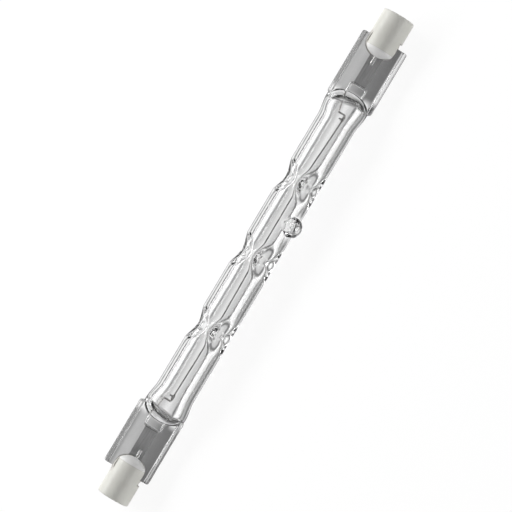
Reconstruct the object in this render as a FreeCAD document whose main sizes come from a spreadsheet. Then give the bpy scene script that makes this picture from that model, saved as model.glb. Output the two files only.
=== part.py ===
import FreeCAD, Part
import math
import os
import Sketcher
from FreeCAD import Placement, Rotation, Vector

# A double-ended linear halogen lamp: a quartz tube pressed flat at both ends, a coiled filament on its axis,
# foil seals in the flat ends, and a ceramic cap with a recessed contact on each end.
# Every piece is drawn in the lamp's own frame, in millimetres: X runs along the lamp, Y across the flat
# blades and Z square to them. The finished lamp is then rolled about X until it lies on its tube and on the
# edge of a blade, with its lowest line at Z = 0.

doc = FreeCAD.newDocument("linear_halogen_bulb")

# Driving sizes
DRIVING_SIZES = (
    ("overall_length", 117.6),
    ("contact_recess", 1.7),
    ("cap_diameter", 7.2),
    ("cap_length", 9.95),
    ("cap_outer_chamfer", 0.3),
    ("cap_dome", 1.3),
    ("cap_dome_shoulder", 0.4),
    ("recess_diameter", 4.6),
    ("recess_chamfer", 0.25),
    ("slot_distance", 4.93),
    ("slot_clearance", 0.1),
    ("blade_gap", 1.2),
    ("blade_length", 14.95),
    ("blade_width", 10.7),
    ("web_thickness", 2.9),
    ("rail_thickness", 3.6),
    ("rail_width", 1.15),
    ("rail_slope", 0.85),
    ("rail_round", 0.5),
    ("blade_corner", 0.6),
    ("blade_shift_left", 0.36),
    ("blade_shift_right", -0.2),
    ("tube_diameter", 8.7),
    ("tube_wall", 1.15),
    ("flare_length", 4.4),
    ("flare_width", 9.7),
    ("flare_height", 7.9),
    ("nose_length", 3.0),
    ("nose_overlap", 0.7),
    ("gas_nose_length", 1.7),
    ("gas_nose_setback", 0.4),
    ("crimp_spacing", 18.0),
    ("dimple_turn", 37.0),
    ("dimple_depth", 1.7),
    ("dimple_slope", 29.0),
    ("dimple_flat", 1.9),
    ("dimple_nose_round", 0.7),
    ("dimple_gap", 1.3),
    ("pip_position", 9.2),
    ("pip_turn", 50.0),
    ("pip_height", 2.4),
    ("pip_base_diameter", 4.2),
    ("pip_shoulder_diameter", 3.6),
    ("pip_top_diameter", 2.0),
    ("pip_bore_diameter", 1.5),
    ("pip_wall", 1.3),
    ("pip_root", 0.8),
    ("pip_skirt", 0.35),
    ("pip_shoulder", 1.2),
    ("pip_top_chamfer", 0.35),
    ("foil_width", 2.84),
    ("foil_length", 9.4),
    ("foil_thickness", 0.04),
    ("lead_diameter", 0.38),
    ("lead_loop_width", 3.6),
    ("lead_loop_inset", 4.2),
    ("lead_loop_depth", 2.3),
    ("lead_reach", 1.6),
    ("hook_inset", 2.67),
    ("hook_length", 1.1),
    ("hook_height", 0.85),
    ("coil_diameter", 0.36),
    ("coil_end_diameter", 0.66),
    ("coil_end_length", 1.25),
    ("coil_end_gap", 0.3),
    ("sag_left_end", -0.08),
    ("sag_left_crimp", -0.4),
    ("sag_middle_crimp", -0.05),
    ("sag_right_crimp", -0.05),
    ("sag_right_end", -0.85),
    ("outer_lead_diameter", 0.6),
    ("outer_lead_weld", 4.15),
    ("contact_diameter", 3.6),
    ("contact_thickness", 0.6),
    ("contact_chamfer", 0.15),
    ("shank_diameter", 1.6),
    ("shank_stand_out", 0.4),
    ("shank_bore_depth", 1.5),
    ("cement_set_back", 0.2),
    ("cement_side_gap", 0.6),
    ("cement_end_chamfer", 0.94),
    ("cut_margin", 1.0),
)
sizes = doc.addObject("Spreadsheet::Sheet", "Sizes")
for row, (name, value) in enumerate(DRIVING_SIZES, start=1):
    sizes.set(f"A{row}", name)
    sizes.set(f"B{row}", str(value))
    sizes.setAlias(f"B{row}", name)
doc.recompute()

# Places worked out from the driving sizes, each bound to the sheet
places = doc.addObject("App::VarSet", "Places")


def place(name, expression):
    places.addProperty("App::PropertyFloat", name, "Places")
    places.setExpression(name, expression)


place("lamp_end", "Sizes.overall_length / 2")
place("cap_radius", "Sizes.cap_diameter / 2")
place("cap_inner_end", "Places.lamp_end - Sizes.cap_length")
place("slot_floor", "Places.lamp_end - Sizes.slot_distance")
place("slot_half", "Sizes.rail_thickness / 2 + Sizes.slot_clearance")
place("contact_face", "Places.lamp_end - Sizes.contact_recess")
place("contact_seat", "Places.contact_face - Sizes.contact_thickness")
place("shank_end", "Places.slot_floor - Sizes.shank_stand_out")
place("blade_end", "Places.slot_floor - Sizes.blade_gap")
place("blade_start", "Places.blade_end - Sizes.blade_length")
place("blade_half", "Sizes.blade_width / 2")
place("rail_half", "Sizes.rail_thickness / 2")
place("web_half", "Sizes.web_thickness / 2")
place("rail_foot", "Places.blade_half - Sizes.rail_width")
place("web_edge", "Places.rail_foot - Sizes.rail_slope")
place("tube_radius", "Sizes.tube_diameter / 2")
place("bore_radius", "Places.tube_radius - Sizes.tube_wall")
place("nose_base", "Places.blade_start - Sizes.nose_overlap")
place("flare_start", "Places.nose_base - Sizes.flare_length")
place("gas_nose_base", "Places.nose_base - Sizes.gas_nose_setback")
place("dimple_face", "Places.tube_radius - Sizes.dimple_depth")
place("outer_lead_radius", "Sizes.outer_lead_diameter / 2")
place("lead_radius", "Sizes.lead_diameter / 2")
place("lead_height", "Places.lead_radius - Places.outer_lead_radius")
place("foil_top", "-Places.outer_lead_radius")
place("loop_x", "Places.blade_start + Sizes.lead_loop_inset")
place("foil_start", "Places.loop_x - Places.lead_radius")
place("foil_end", "Places.foil_start + Sizes.foil_length")
place("outer_lead_start", "Places.foil_end - Sizes.outer_lead_weld")
place("hook_x", "Places.blade_start - Sizes.hook_inset")
place("coil_end", "Places.hook_x - Sizes.coil_end_gap")
doc.recompute()

ENDS = (("left", -1), ("right", 1))

# Where the ovals of a tube end stand along its nose, as shares of the nose's length
NOSE_STEPS = (0, 0.6, 0.92)


# Drawing helpers
def value_of(expression):
    result = places.evalExpression(expression)
    return float(getattr(result, "Value", result))


def new_body(name):
    body = doc.addObject("PartDesign::Body", name)
    body.Label = name
    return body


def new_sketch(body, name, role, shift="0", turn="0"):
    """A sketch on one of the body's own planes, moved along the plane's normal and turned about its X."""
    sketch = body.newObject("Sketcher::SketchObject", name)
    plane = next(f for f in body.Origin.OriginFeatures if f.Role == role)
    sketch.AttachmentSupport = [(plane, "")]
    sketch.MapMode = "FlatFace"
    turned = Rotation(Vector(1, 0, 0), value_of(turn))
    sketch.AttachmentOffset = Placement(Vector(0, 0, value_of(shift)), turned)
    if shift != "0":
        sketch.setExpression("AttachmentOffset.Base.z", shift)
    if turn != "0":
        sketch.setExpression("AttachmentOffset.Rotation.Angle", turn)
    return sketch


def hold(sketch, kind, first, first_point, second, second_point, expression):
    """Adds a distance constraint bound to the sheet."""
    rule = Sketcher.Constraint(kind, first, first_point, second, second_point, value_of(expression))
    index = sketch.addConstraint(rule)
    sketch.setExpression(f"Constraints[{index}]", expression)


def draw_outline(sketch, corners, closed=True):
    """Draws straight runs through the corners. A corner is (x, y) or (x, y, radius), each an expression."""
    points = [Vector(value_of(c[0]), value_of(c[1]), 0) for c in corners]
    count = len(points)
    runs = count if closed else count - 1
    rounded = {i for i, c in enumerate(corners) if len(c) == 3}
    starts = list(points)
    ends = [points[(i + 1) % count] for i in range(runs)]
    arcs = {}
    for i in sorted(rounded):
        before = (points[i - 1] - points[i]).normalize()
        after = (points[(i + 1) % count] - points[i]).normalize()
        radius = value_of(corners[i][2])
        half_angle = before.getAngle(after) / 2
        reach = radius / math.tan(half_angle)
        centre = points[i] + (before + after).normalize() * (radius / math.sin(half_angle))
        ends[(i - 1) % count] = points[i] + before * reach
        starts[i] = points[i] + after * reach
        arcs[i] = (centre, radius, ends[(i - 1) % count], starts[i], before.cross(after).z < 0)
    lines = [sketch.addGeometry(Part.LineSegment(starts[i], ends[i]), False) for i in range(runs)]
    for i in range(count):
        before, after = lines[(i - 1) % runs], lines[i % runs]
        x, y = corners[i][0], corners[i][1]
        if i not in rounded:
            last = not closed and i == count - 1
            if closed or 0 < i < count - 1:
                sketch.addConstraint(Sketcher.Constraint("Coincident", before, 2, after, 1))
            line, end = (lines[-1], 2) if last else (after, 1)
            hold(sketch, "DistanceX", -1, 1, line, end, x)
            hold(sketch, "DistanceY", -1, 1, line, end, y)
            continue
        centre, radius, arrive, leave, left_turn = arcs[i]
        first, second = (arrive, leave) if left_turn else (leave, arrive)
        angles = [math.atan2(p.y - centre.y, p.x - centre.x) for p in (first, second)]
        if angles[1] < angles[0]:
            angles[1] += 2 * math.pi
        circle = Part.Circle(centre, Vector(0, 0, 1), radius)
        arc = sketch.addGeometry(Part.ArcOfCircle(circle, *angles), False)
        sketch.addConstraint(Sketcher.Constraint("Tangent", before, 2, arc, 1 if left_turn else 2))
        sketch.addConstraint(Sketcher.Constraint("Tangent", arc, 2 if left_turn else 1, after, 1))
        index = sketch.addConstraint(Sketcher.Constraint("Radius", arc, radius))
        sketch.setExpression(f"Constraints[{index}]", corners[i][2])
        corner = sketch.addGeometry(Part.Point(points[i]), True)
        sketch.addConstraint(Sketcher.Constraint("PointOnObject", corner, 1, before))
        sketch.addConstraint(Sketcher.Constraint("PointOnObject", corner, 1, after))
        hold(sketch, "DistanceX", -1, 1, corner, 1, x)
        hold(sketch, "DistanceY", -1, 1, corner, 1, y)


def draw_circle(sketch, x, y, radius):
    centre = Vector(value_of(x), value_of(y), 0)
    circle = sketch.addGeometry(Part.Circle(centre, Vector(0, 0, 1), value_of(radius)), False)
    hold(sketch, "DistanceX", -1, 1, circle, 3, x)
    hold(sketch, "DistanceY", -1, 1, circle, 3, y)
    index = sketch.addConstraint(Sketcher.Constraint("Radius", circle, value_of(radius)))
    sketch.setExpression(f"Constraints[{index}]", radius)


def draw_ellipse(sketch, half_width, half_height):
    across, up = value_of(half_width), value_of(half_height)
    shape = Part.Ellipse(Vector(across, 0, 0), Vector(0, up, 0), Vector(0, 0, 0))
    ellipse = sketch.addGeometry(shape, False)
    sketch.exposeInternalGeometry(ellipse)
    major, minor = ellipse + 1, ellipse + 2
    sketch.addConstraint(Sketcher.Constraint("Coincident", ellipse, 3, -1, 1))
    sketch.addConstraint(Sketcher.Constraint("Horizontal", major))
    for axis, length in ((major, half_width), (minor, half_height)):
        index = sketch.addConstraint(Sketcher.Constraint("Distance", axis, 2 * value_of(length)))
        sketch.setExpression(f"Constraints[{index}]", f"2 * ({length})")


def mirror_four_ways(corners):
    """A closed outline from its first-quadrant corners, which run from the Y side to the X side."""
    def flip(corner, sign_x, sign_y):
        x = corner[0] if sign_x > 0 else f"-({corner[0]})"
        y = corner[1] if sign_y > 0 else f"-({corner[1]})"
        return (x, y) + tuple(corner[2:])
    outline = [flip(c, 1, 1) for c in corners]
    outline += [flip(c, 1, -1) for c in reversed(corners)]
    outline += [flip(c, -1, -1) for c in corners]
    outline += [flip(c, -1, 1) for c in reversed(corners)]
    return outline


def pad(body, name, sketch, length, both_ways=False, backwards=False):
    feature = body.newObject("PartDesign::Pad", name)
    feature.Profile = sketch
    feature.Length = value_of(length)
    feature.setExpression("Length", length)
    feature.Midplane = both_ways
    feature.Reversed = backwards
    return feature


def revolve(body, name, sketch, axis):
    feature = body.newObject("PartDesign::Revolution", name)
    feature.Profile = sketch
    feature.ReferenceAxis = (sketch, [axis])
    feature.Angle = 360
    return feature


def add_turning_axis(sketch, first_line, last_line):
    """A construction line from the start of one line to the start of another, to revolve the sketch about."""
    start, end = (sketch.Geometry[line].StartPoint for line in (first_line, last_line))
    axis = sketch.addGeometry(Part.LineSegment(start, end), True)
    sketch.addConstraint(Sketcher.Constraint("Coincident", axis, 1, first_line, 1))
    sketch.addConstraint(Sketcher.Constraint("Coincident", axis, 2, last_line, 1))


def origin_line(body, role):
    return next(f for f in body.Origin.OriginFeatures if f.Role == role)


def repeat_at_crimps(body, name, dimple):
    """Repeats a dimple three times around the tube and at each of the three crimps."""
    pattern = body.newObject("PartDesign::MultiTransform", name)
    pattern.Originals = [dimple]
    around = body.newObject("PartDesign::PolarPattern", name + "Around")
    around.Axis = (origin_line(body, "X_Axis"), [""])
    around.Angle = 360
    around.Occurrences = 3
    along = body.newObject("PartDesign::LinearPattern", name + "Along")
    along.Direction = (origin_line(body, "X_Axis"), [""])
    along.Length = value_of("2 * Sizes.crimp_spacing")
    along.setExpression("Length", "2 * Sizes.crimp_spacing")
    along.Occurrences = 3
    pattern.Transformations = [around, along]
    body.Tip = pattern
    doc.recompute()


def press_dimples(body, name, face, surface, nose=()):
    """Three flat-nosed hollows around the tube at each crimp, from its surface down to a face by the axis."""
    crimp = "-Sizes.crimp_spacing"
    flat = "Sizes.dimple_flat / 2"
    top = f"({surface}) + Sizes.cut_margin"
    spread = f"{flat} + (({top}) - {face}) / tan(Sizes.dimple_slope)"
    sketch = new_sketch(body, name + "Profile", "XZ_Plane", turn="Sizes.dimple_turn")
    draw_outline(sketch, (
        (f"{crimp} - ({spread})", top),
        (f"{crimp} - {flat}", face) + nose,
        (f"{crimp} + {flat}", face) + nose,
        (f"{crimp} + ({spread})", top),
    ))
    cut = body.newObject("PartDesign::Pocket", name)
    cut.Profile = sketch
    cut.Length = value_of("3 * Sizes.tube_diameter")
    cut.setExpression("Length", "3 * Sizes.tube_diameter")
    cut.Midplane = True
    doc.recompute()
    repeat_at_crimps(body, name + "s", cut)


def flare_and_nose(body, side, sign, radius, start, base, half_width, half_height, length):
    """The tube's end, lofted: round to oval over the flare, then drawn in along an oval nose."""
    circle = new_sketch(body, f"FlareStart_{side}", "YZ_Plane", shift=f"{sign} * {start}")
    draw_circle(circle, "0", "0", radius)
    middle = f"(({start}) + ({base})) / 2"
    spans = [(middle, f"(({radius}) + {half_width}) / 2", f"(({radius}) + {half_height}) / 2")]
    for along in NOSE_STEPS:
        drawn_in = f"sqrt(1 - {along}^2)"
        across, up = f"({half_width}) * {drawn_in}", f"({half_height}) * {drawn_in}"
        spans.append((f"{base} + {along} * {length}", across, up))
    ovals = []
    for index, (x, across, up) in enumerate(spans):
        oval = new_sketch(body, f"Oval{index}_{side}", "YZ_Plane", shift=f"{sign} * ({x})")
        draw_ellipse(oval, across, up)
        ovals.append(oval)
    doc.recompute()
    loft = body.newObject("PartDesign::AdditiveLoft", f"TubeEnd_{side}")
    loft.Profile = circle
    loft.Sections = ovals
    loft.Ruled = True
    doc.recompute()


# The quartz blank: tube, flared ends, pressed blades, crimps and the sealed exhaust pip
def make_quartz_blank():
    body = new_body("quartz_blank")
    body.AllowCompound = True
    for side, sign in ENDS:
        make_blade(body, side, sign)

    tube = new_sketch(body, "TubeSection", "YZ_Plane")
    draw_circle(tube, "0", "0", "Places.tube_radius")
    pad(body, "Tube", tube, "2 * Places.flare_start", both_ways=True)
    doc.recompute()

    press_dimples(body, "Dimple", "Places.dimple_face", "Places.tube_radius", ("Sizes.dimple_nose_round",))

    for side, sign in ENDS:
        flare_and_nose(
            body, side, sign, "Places.tube_radius", "Places.flare_start", "Places.nose_base",
            "Sizes.flare_width / 2", "Sizes.flare_height / 2", "Sizes.nose_length",
        )

    make_pip(body)
    return body


def make_blade(body, side, sign):
    """A pressed seal: a flat web with a thicker rail along each edge, its four corners rounded."""
    shift = f"Sizes.blade_shift_{side}"
    quarter = (
        ("Places.web_edge", "Places.web_half"),
        ("Places.rail_foot", "Places.rail_half"),
        ("Places.blade_half", "Places.rail_half", "Sizes.rail_round"),
    )
    section = new_sketch(body, f"BladeSection_{side}", "YZ_Plane", shift=f"{sign} * Places.blade_start")
    draw_outline(section, [(f"{shift} + ({c[0]})",) + tuple(c[1:]) for c in mirror_four_ways(quarter)])
    pad(body, f"Blade_{side}", section, "Sizes.blade_length", backwards=sign < 0)
    doc.recompute()

    trim = new_sketch(body, f"BladeTrim_{side}", "XY_Plane")
    for margin, rounds in (("Sizes.cut_margin", ()), ("0", ("Sizes.blade_corner",))):
        near, far = f"{sign} * (Places.blade_start - {margin})", f"{sign} * (Places.blade_end + {margin})"
        low, high = f"{shift} - Places.blade_half - {margin}", f"{shift} + Places.blade_half + {margin}"
        draw_outline(trim, [(x, y) + rounds for x, y in ((near, low), (far, low), (far, high), (near, high))])
    cut = body.newObject("PartDesign::Pocket", f"BladeCorners_{side}")
    cut.Profile = trim
    cut.Length = value_of("2 * Sizes.rail_thickness")
    cut.setExpression("Length", "2 * Sizes.rail_thickness")
    cut.Midplane = True
    doc.recompute()


def make_pip(body):
    """The sealed stub of the exhaust tube."""
    foot = "Places.tube_radius - Sizes.pip_root"
    top = "Places.tube_radius + Sizes.pip_height"
    skirt = "Places.tube_radius + Sizes.pip_skirt"
    shoulder = "Places.tube_radius + Sizes.pip_shoulder"
    profile = new_sketch(body, "PipProfile", "XZ_Plane", turn="Sizes.pip_turn")
    draw_outline(profile, (
        ("Sizes.pip_position", foot),
        ("Sizes.pip_position + Sizes.pip_base_diameter / 2", foot),
        ("Sizes.pip_position + Sizes.pip_base_diameter / 2", skirt),
        ("Sizes.pip_position + Sizes.pip_shoulder_diameter / 2", shoulder),
        ("Sizes.pip_position + Sizes.pip_top_diameter / 2", f"{top} - Sizes.pip_top_chamfer"),
        ("Sizes.pip_position + Sizes.pip_top_diameter / 2 - Sizes.pip_top_chamfer", top),
        ("Sizes.pip_position", top),
    ))
    add_turning_axis(profile, 6, 0)
    doc.recompute()
    revolve(body, "Pip", profile, "Axis0")
    doc.recompute()


# The gas space inside the quartz
def make_gas_space():
    body = new_body("gas_space")
    bore = new_sketch(body, "BoreSection", "YZ_Plane")
    draw_circle(bore, "0", "0", "Places.bore_radius")
    pad(body, "Bore", bore, "2 * Places.flare_start", both_ways=True)
    doc.recompute()
    press_dimples(body, "InnerDimple", "Sizes.dimple_gap", "Places.bore_radius")
    for side, sign in ENDS:
        flare_and_nose(
            body, side, sign, "Places.bore_radius", "Places.flare_start", "Places.gas_nose_base",
            "Sizes.flare_width / 2 - Sizes.tube_wall", "Sizes.flare_height / 2 - Sizes.tube_wall",
            "Sizes.gas_nose_length",
        )
    funnel_foot = "Places.bore_radius - Sizes.pip_root"
    funnel_top = "Places.tube_radius + Sizes.pip_height - Sizes.pip_wall"
    profile = new_sketch(body, "FunnelProfile", "XZ_Plane", turn="Sizes.pip_turn")
    draw_outline(profile, (
        ("Sizes.pip_position", funnel_foot),
        ("Sizes.pip_position + Sizes.pip_bore_diameter / 2", funnel_foot),
        ("Sizes.pip_position + Sizes.pip_bore_diameter / 4", funnel_top),
        ("Sizes.pip_position", funnel_top),
    ))
    add_turning_axis(profile, 3, 0)
    doc.recompute()
    revolve(body, "Funnel", profile, "Axis0")
    doc.recompute()
    return body


def make_rod(name, section_plane_x, centre_y, centre_z, radius, length, backwards):
    """A straight round rod along X."""
    body = new_body(name)
    section = new_sketch(body, f"Section_{name}", "YZ_Plane", shift=section_plane_x)
    draw_circle(section, centre_y, centre_z, radius)
    pad(body, f"Rod_{name}", section, length, backwards=backwards)
    return body


# The molybdenum foil that carries the current through each blade
def make_foil(side, sign):
    body = new_body(f"foil_{side}")
    section = new_sketch(body, f"FoilSection_{side}", "YZ_Plane", shift=f"{sign} * Places.foil_start")
    low, high = (f"Sizes.blade_shift_{side} {way} Sizes.foil_width / 2" for way in "-+")
    bottom = "Places.foil_top - Sizes.foil_thickness"
    top = "Places.foil_top"
    draw_outline(section, ((low, bottom), (high, bottom), (high, top), (low, top)))
    pad(body, f"Foil_{side}", section, "Sizes.foil_length", backwards=sign < 0)
    return body


# The tungsten lead: looped across the foil's end, then out to the axis and hooked into the coil
def make_inner_lead(side, sign):
    body = new_body(f"inner_lead_{side}")
    shift = f"Sizes.blade_shift_{side}"
    axis = f"Sizes.sag_{side}_end"
    loop_half = "Sizes.lead_loop_width / 2"
    loop_end = "Places.loop_x - Sizes.lead_loop_depth"
    hook_in = "Places.hook_x - Sizes.hook_length"
    corners = (
        (loop_end, f"{shift} - {loop_half}"),
        ("Places.loop_x", f"{shift} - {loop_half}"),
        ("Places.loop_x", f"{shift} + {loop_half}"),
        (loop_end, f"{shift} + {loop_half}"),
        ("Places.hook_x", f"{axis} + Sizes.lead_reach"),
        ("Places.hook_x", axis),
        (hook_in, axis),
        (hook_in, f"{axis} + Sizes.hook_height"),
    )
    path = new_sketch(body, f"LeadPath_{side}", "XY_Plane", shift="Places.lead_height")
    draw_outline(path, [(f"{sign} * ({x})", y) for x, y in corners], closed=False)
    section = new_sketch(body, f"LeadSection_{side}", "YZ_Plane", shift=f"{sign} * ({loop_end})")
    draw_circle(section, f"{shift} - {loop_half}", "Places.lead_height", "Places.lead_radius")
    doc.recompute()
    wire = body.newObject("PartDesign::AdditivePipe", f"Lead_{side}")
    wire.Profile = section
    wire.Spine = (path, [])
    wire.Transition = "Right corner"
    doc.recompute()
    return body


# The coiled filament, as the closed form that its turns fill
def make_filament_form():
    body = new_body("filament_form")
    corners = (
        ("-Places.coil_end", "Sizes.sag_left_end"),
        ("-Places.coil_end + Sizes.coil_end_length", "Sizes.sag_left_end"),
        ("-Sizes.crimp_spacing", "Sizes.sag_left_crimp"),
        ("0", "Sizes.sag_middle_crimp"),
        ("Sizes.crimp_spacing", "Sizes.sag_right_crimp"),
        ("Places.coil_end - Sizes.coil_end_length", "Sizes.sag_right_end"),
        ("Places.coil_end", "Sizes.sag_right_end"),
    )
    path = new_sketch(body, "CoilPath", "XY_Plane", shift="Places.lead_height")
    draw_outline(path, corners, closed=False)
    section = new_sketch(body, "CoilSection", "YZ_Plane", shift="-Places.coil_end")
    draw_circle(section, "Sizes.sag_left_end", "Places.lead_height", "Sizes.coil_diameter / 2")
    doc.recompute()
    coil = body.newObject("PartDesign::AdditivePipe", "Coil")
    coil.Profile = section
    coil.Spine = (path, [])
    coil.Transition = "Right corner"
    doc.recompute()
    for side, sign in ENDS:
        section = new_sketch(body, f"CoilEndSection_{side}", "YZ_Plane", shift=f"{sign} * Places.coil_end")
        draw_circle(section, f"Sizes.sag_{side}_end", "Places.lead_height", "Sizes.coil_end_diameter / 2")
        pad(body, f"CoilEnd_{side}", section, "Sizes.coil_end_length", backwards=sign > 0)
        doc.recompute()
    return body


# The ceramic cap: a round sleeve with a recess for the contact and a slot for the blade
def make_cap(side, sign):
    body = new_body(f"ceramic_cap_{side}")
    recess = "Sizes.recess_diameter / 2"
    shoulder = "Sizes.cap_dome_shoulder"
    profile = new_sketch(body, f"CapProfile_{side}", "XY_Plane")
    draw_outline(profile, (
        (f"{sign} * Places.lamp_end", f"{recess} + Sizes.recess_chamfer"),
        (f"{sign} * Places.lamp_end", "Places.cap_radius - Sizes.cap_outer_chamfer"),
        (f"{sign} * (Places.lamp_end - Sizes.cap_outer_chamfer)", "Places.cap_radius"),
        (f"{sign} * (Places.cap_inner_end + Sizes.cap_dome)", "Places.cap_radius"),
        (f"{sign} * (Places.cap_inner_end + {shoulder})", f"Places.cap_radius - {shoulder}"),
        (f"{sign} * Places.cap_inner_end", "Places.cap_radius - Sizes.cap_dome"),
        (f"{sign} * Places.cap_inner_end", "Sizes.shank_diameter / 2"),
        (f"{sign} * Places.contact_seat", "Sizes.shank_diameter / 2"),
        (f"{sign} * Places.contact_seat", "Sizes.contact_diameter / 2"),
        (f"{sign} * Places.contact_face", "Sizes.contact_diameter / 2"),
        (f"{sign} * Places.contact_face", recess),
        (f"{sign} * (Places.lamp_end - Sizes.recess_chamfer)", recess),
    ))
    revolve(body, f"Cap_{side}", profile, "H_Axis")
    doc.recompute()
    slot = new_sketch(body, f"SlotProfile_{side}", "XZ_Plane")
    near, far = f"{sign} * (Places.cap_inner_end - Sizes.cut_margin)", f"{sign} * Places.slot_floor"
    draw_outline(slot, (
        (near, "-Places.slot_half"),
        (far, "-Places.slot_half"),
        (far, "Places.slot_half"),
        (near, "Places.slot_half"),
    ))
    cut = body.newObject("PartDesign::Pocket", f"Slot_{side}")
    cut.Profile = slot
    cut.Length = value_of("2 * Sizes.cap_diameter")
    cut.setExpression("Length", "2 * Sizes.cap_diameter")
    cut.Midplane = True
    doc.recompute()
    return body


# The contact: a button in the cap's recess, with a hollow shank through the ceramic
def make_contact(side, sign):
    body = new_body(f"contact_{side}")
    bore_end = "Places.shank_end + Sizes.shank_bore_depth"
    profile = new_sketch(body, f"ContactProfile_{side}", "XY_Plane")
    draw_outline(profile, (
        (f"{sign} * Places.contact_face", "0"),
        (f"{sign} * Places.contact_face", "Sizes.contact_diameter / 2 - Sizes.contact_chamfer"),
        (f"{sign} * (Places.contact_face - Sizes.contact_chamfer)", "Sizes.contact_diameter / 2"),
        (f"{sign} * Places.contact_seat", "Sizes.contact_diameter / 2"),
        (f"{sign} * Places.contact_seat", "Sizes.shank_diameter / 2"),
        (f"{sign} * Places.shank_end", "Sizes.shank_diameter / 2"),
        (f"{sign} * Places.shank_end", "Places.outer_lead_radius"),
        (f"{sign} * ({bore_end})", "Places.outer_lead_radius"),
        (f"{sign} * ({bore_end})", "0"),
    ))
    revolve(body, f"Contact_{side}", profile, "H_Axis")
    doc.recompute()
    return body


# The outer lead: from its weld on the foil out to the bore of the contact's shank
def make_outer_lead(side, sign):
    length = "Places.shank_end + Sizes.shank_bore_depth - Places.outer_lead_start"
    start = f"{sign} * Places.outer_lead_start"
    return make_rod(f"outer_lead_{side}", start, "0", "0", "Places.outer_lead_radius", length, sign < 0)


# The cement that fills the cap's slot around the blade
def make_cement_form(side, sign):
    body = new_body(f"cement_form_{side}")
    set_back = "Sizes.cement_set_back"
    profile = new_sketch(body, f"CementProfile_{side}", "XY_Plane")
    near = f"Places.cap_inner_end + {set_back}"
    radius = f"Places.cap_radius - {set_back}"
    draw_outline(profile, (
        (f"{sign} * ({near})", "0"),
        (f"{sign} * ({near})", f"{radius} - Sizes.cement_end_chamfer"),
        (f"{sign} * ({near} + Sizes.cement_end_chamfer)", radius),
        (f"{sign} * Places.slot_floor", radius),
        (f"{sign} * Places.slot_floor", "0"),
    ))
    revolve(body, f"Cement_{side}", profile, "H_Axis")
    doc.recompute()
    trim = new_sketch(body, f"CementTrim_{side}", "YZ_Plane")
    for half_width, half_height in (("Sizes.cap_diameter", "Sizes.cap_diameter"),
                                    ("Places.cap_radius - Sizes.cement_side_gap", "Places.slot_half")):
        draw_outline(trim, (
            (f"-({half_width})", f"-{half_height}"),
            (half_width, f"-{half_height}"),
            (half_width, half_height),
            (f"-({half_width})", half_height),
        ))
    cut = body.newObject("PartDesign::Pocket", f"CementSides_{side}")
    cut.Profile = trim
    cut.Length = value_of("2 * Sizes.overall_length")
    cut.setExpression("Length", "2 * Sizes.overall_length")
    cut.Midplane = True
    doc.recompute()
    return body


def cut_away(name, base, tools):
    """The base with the tools' shapes taken out of it, so that the pieces meet face to face."""
    tool = tools[0]
    if len(tools) > 1:
        tool = doc.addObject("Part::MultiFuse", f"hollows_of_{name}")
        tool.Shapes = tools
    piece = doc.addObject("Part::Cut", name)
    piece.Label = name
    piece.Base = base
    piece.Tool = tool
    return piece


# The resting pose: the lamp lies on its tube and on the lower edge of a blade
REACH = "(Places.blade_half - Sizes.rail_round - min(Sizes.blade_shift_left; Sizes.blade_shift_right))"
RISE = "(Places.rail_half - Sizes.rail_round)"
place("rest_roll", f"asin((Places.tube_radius - Sizes.rail_round) / hypot({REACH}; {RISE}))"
                   f" - atan2({RISE}; {REACH})")
PIP_SWING = "(Sizes.pip_turn + Places.rest_roll)"
place("pip_side", f"(Places.tube_radius + Sizes.pip_height) * sin({PIP_SWING})"
                  f" + (Sizes.pip_top_diameter / 2 - Sizes.pip_top_chamfer) * cos({PIP_SWING})")
place("blade_side", "(Places.blade_half - Sizes.rail_round + Sizes.blade_shift_left) * cos(Places.rest_roll)"
                    f" + {RISE} * sin(Places.rest_roll) + Sizes.rail_round")
place("rest_shift", "(Places.pip_side - Places.blade_side) / 2")


def lay_down(body):
    body.Placement = Placement(Vector(0, 0, 0), Rotation(Vector(1, 0, 0), value_of("Places.rest_roll")))
    body.setExpression("Placement.Rotation.Angle", "Places.rest_roll")
    body.setExpression("Placement.Base.y", "Places.rest_shift")
    body.setExpression("Placement.Base.z", "Places.tube_radius")


doc.recompute()
blank = make_quartz_blank()
gas = make_gas_space()
filament_form = make_filament_form()
foils = [make_foil(*end) for end in ENDS]
inner_leads = [make_inner_lead(*end) for end in ENDS]
outer_leads = [make_outer_lead(*end) for end in ENDS]
caps = [make_cap(*end) for end in ENDS]
contacts = [make_contact(*end) for end in ENDS]
cement_forms = [make_cement_form(*end) for end in ENDS]

envelope = cut_away("quartz_envelope", blank, [gas] + foils + inner_leads + outer_leads)
filament = cut_away("filament", filament_form, inner_leads)
cements = [cut_away(f"cement_{side}", form, [blank, contact, lead])
           for (side, sign), form, contact, lead in zip(ENDS, cement_forms, contacts, outer_leads)]

for drawn in [blank, gas, filament_form] + foils + inner_leads + outer_leads + caps + contacts + cement_forms:
    lay_down(drawn)
doc.recompute()

# Every object is sound before anything is written
failed = [obj.Name for obj in doc.Objects if "Invalid" in obj.State or "Error" in obj.State]
if failed:
    raise RuntimeError(f"not built: {failed}")
pieces = [envelope, filament] + foils + inner_leads + outer_leads + caps + contacts + cements
for piece in pieces:
    if piece.Shape.isNull() or not piece.Shape.isValid():
        raise RuntimeError(f"bad shape: {piece.Label}")

os.makedirs("parts", exist_ok=True)
for piece in pieces:
    piece.Shape.exportStep(f"parts/{piece.Label}.step")
    print(f"{piece.Label}: {len(piece.Shape.Solids)} solid, {piece.Shape.Volume:.2f} mm3")
print(f"lies rolled by {places.rest_roll:.2f} degrees, moved {places.rest_shift:.2f} mm across")
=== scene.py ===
import math
import bpy
import numpy as np
from mathutils import Matrix, Vector


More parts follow.
